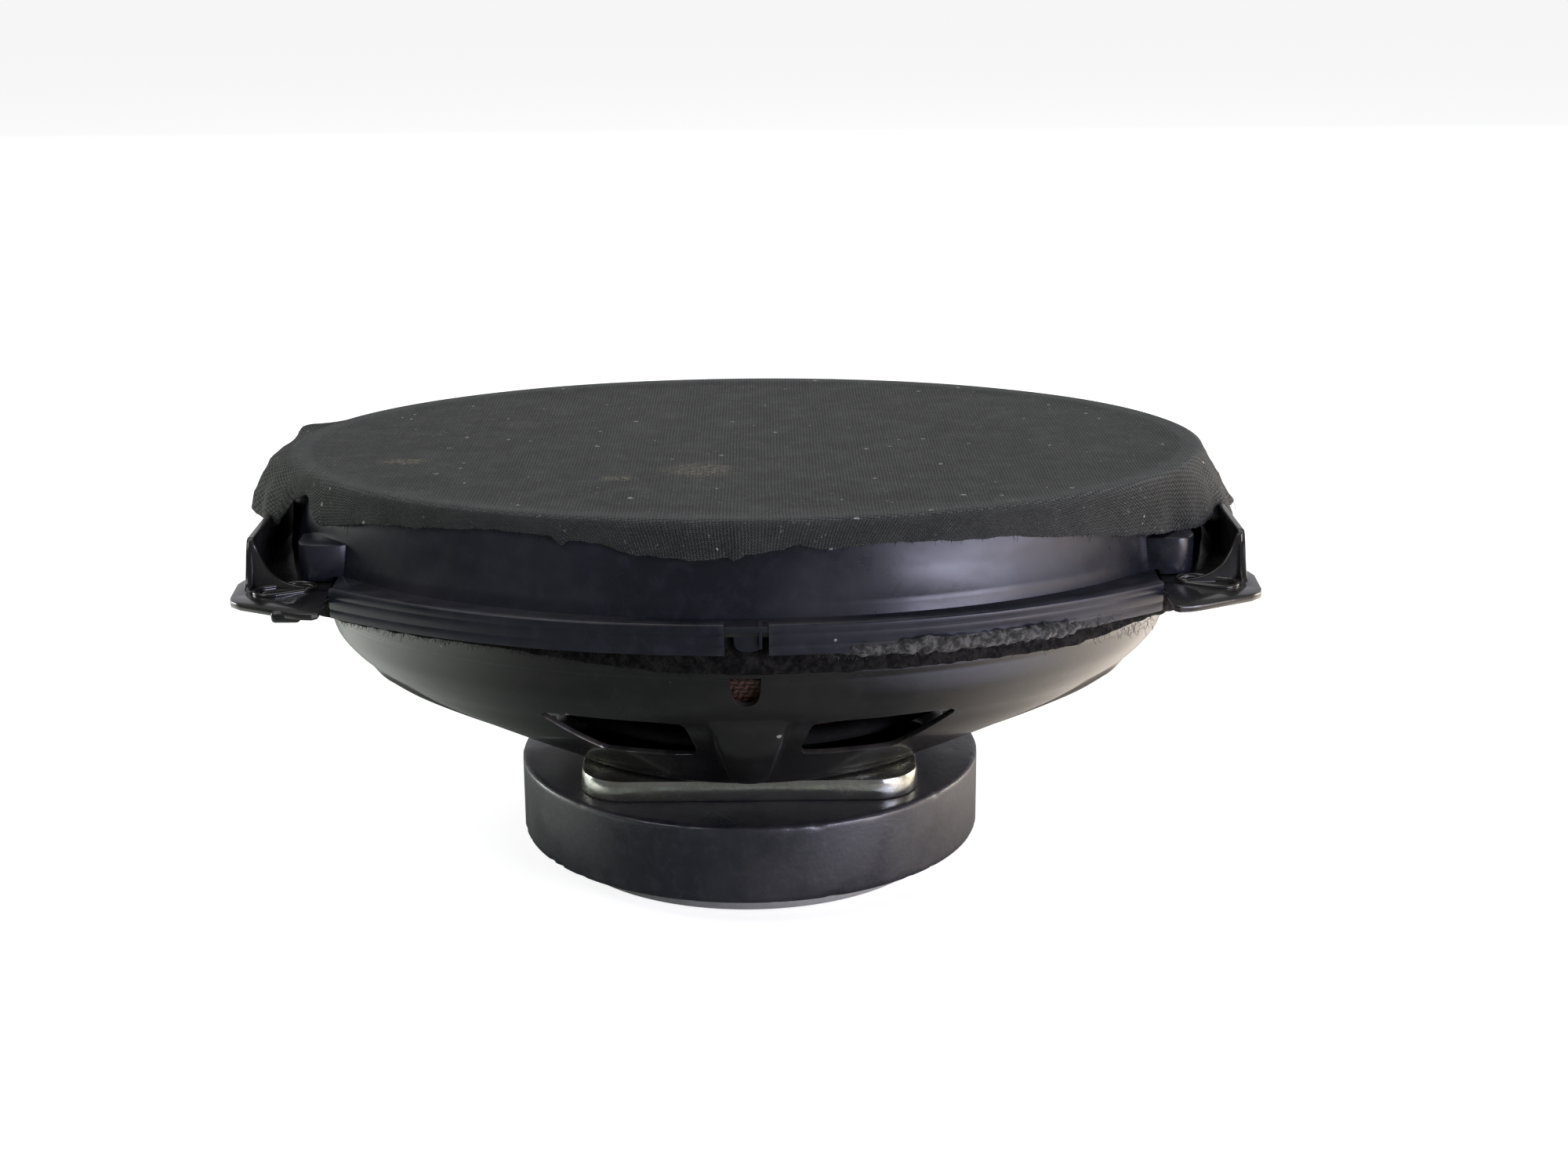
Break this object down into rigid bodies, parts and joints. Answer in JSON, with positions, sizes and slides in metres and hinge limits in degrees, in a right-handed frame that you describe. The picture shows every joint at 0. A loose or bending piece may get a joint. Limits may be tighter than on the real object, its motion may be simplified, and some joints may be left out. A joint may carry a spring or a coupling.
{
  "type": "coaxial car speaker",
  "caption": "Oval coaxial car speaker with ferrite motor, stamped black basket, clipped trim ring under dark cloth, moving cone and small centre tweeter.",
  "frame": {"origin": "centre of the back plate's outer face, on the motor axis", "axes": "+Z along the motor axis towards the cloth, +X along the long side of the oval, -Y towards the viewed long side"},
  "size_m": [0.2276, 0.1697, 0.0995],
  "materials": {
    "zinc_plate": "zinc plated, passivated, satin",
    "ferrite": "ground dark grey ferrite, satin",
    "black_enamel": "black gloss enamel on stamped steel",
    "navy_plastic": "dark navy moulded plastic, satin",
    "black_plastic": "black moulded plastic",
    "grille_cloth": "dark grey plain weave",
    "foam": "worn foam gasket with fluff",
    "spider_cloth": "reddish brown resin cloth",
    "mesh_cloth": "coppery brown woven mesh",
    "cone_paper": "black pressed paper",
    "surround_rubber": "soft black rubber roll",
    "board": "resin paper board",
    "gasket_board": "grey-brown pressed board",
    "former_paper": "amber former sheet",
    "copper": "lacquered copper wire",
    "tin_brass": "bright brass",
    "glue": "dried adhesive",
    "dome_film": "pale plastic film",
    "sleeve_blue": "blue shrink sleeve",
    "wire_red": "red wire cover",
    "nickel": "nickel plated magnet"
  },
  "bodies": {
    "chassis": {"yoke": "zinc_plate", "magnet": "ferrite", "top_plate": "zinc_plate", "basket": "black_enamel", "basket_rivets": "zinc_plate", "spider_ring": "black_plastic", "spider": "spider_cloth", "surround": "surround_rubber", "front_gasket": "gasket_board", "ring": "navy_plastic", "cloth": "grille_cloth", "cloth_glue": "glue", "foam_gasket": "foam", "vent_mesh": "mesh_cloth", "tweeter_post": "black_plastic", "post_bolt": "zinc_plate", "post_felt": "foam", "tweeter_housing": "black_plastic", "tweeter_yoke": "zinc_plate", "tweeter_magnet": "nickel", "tweeter_plate": "zinc_plate", "tweeter_face": "black_plastic", "terminal_board": "board", "terminal_rivets": "tin_brass", "spade_pos": "tin_brass", "spade_neg": "tin_brass", "capacitor": "sleeve_blue", "tinsel_leads": "tin_brass", "tweeter_leads": "wire_red"},
    "cone_assembly": {"former": "former_paper", "winding": "copper", "cone": "cone_paper", "neck_glue": "glue", "lead_eyelets": "tin_brass"},
    "tweeter_diaphragm": {"tweeter_dome": "dome_film", "tweeter_coil": "copper"}
  },
  "joints": [
    {"name": "cone_slide", "type": "slide", "parent": "chassis", "child": "cone_assembly", "axis": [0, 0, 1], "range_m": [-0.003, 0.003], "stiffness_N_per_m": 4000, "deforming": ["spider", "surround", "tinsel_leads", "tweeter_leads"]},
    {"name": "tweeter_slide", "type": "slide", "parent": "chassis", "child": "tweeter_diaphragm", "axis": [0, 0, 1], "range_m": [-0.0003, 0.0003], "stiffness_N_per_m": 2000}
  ]
}
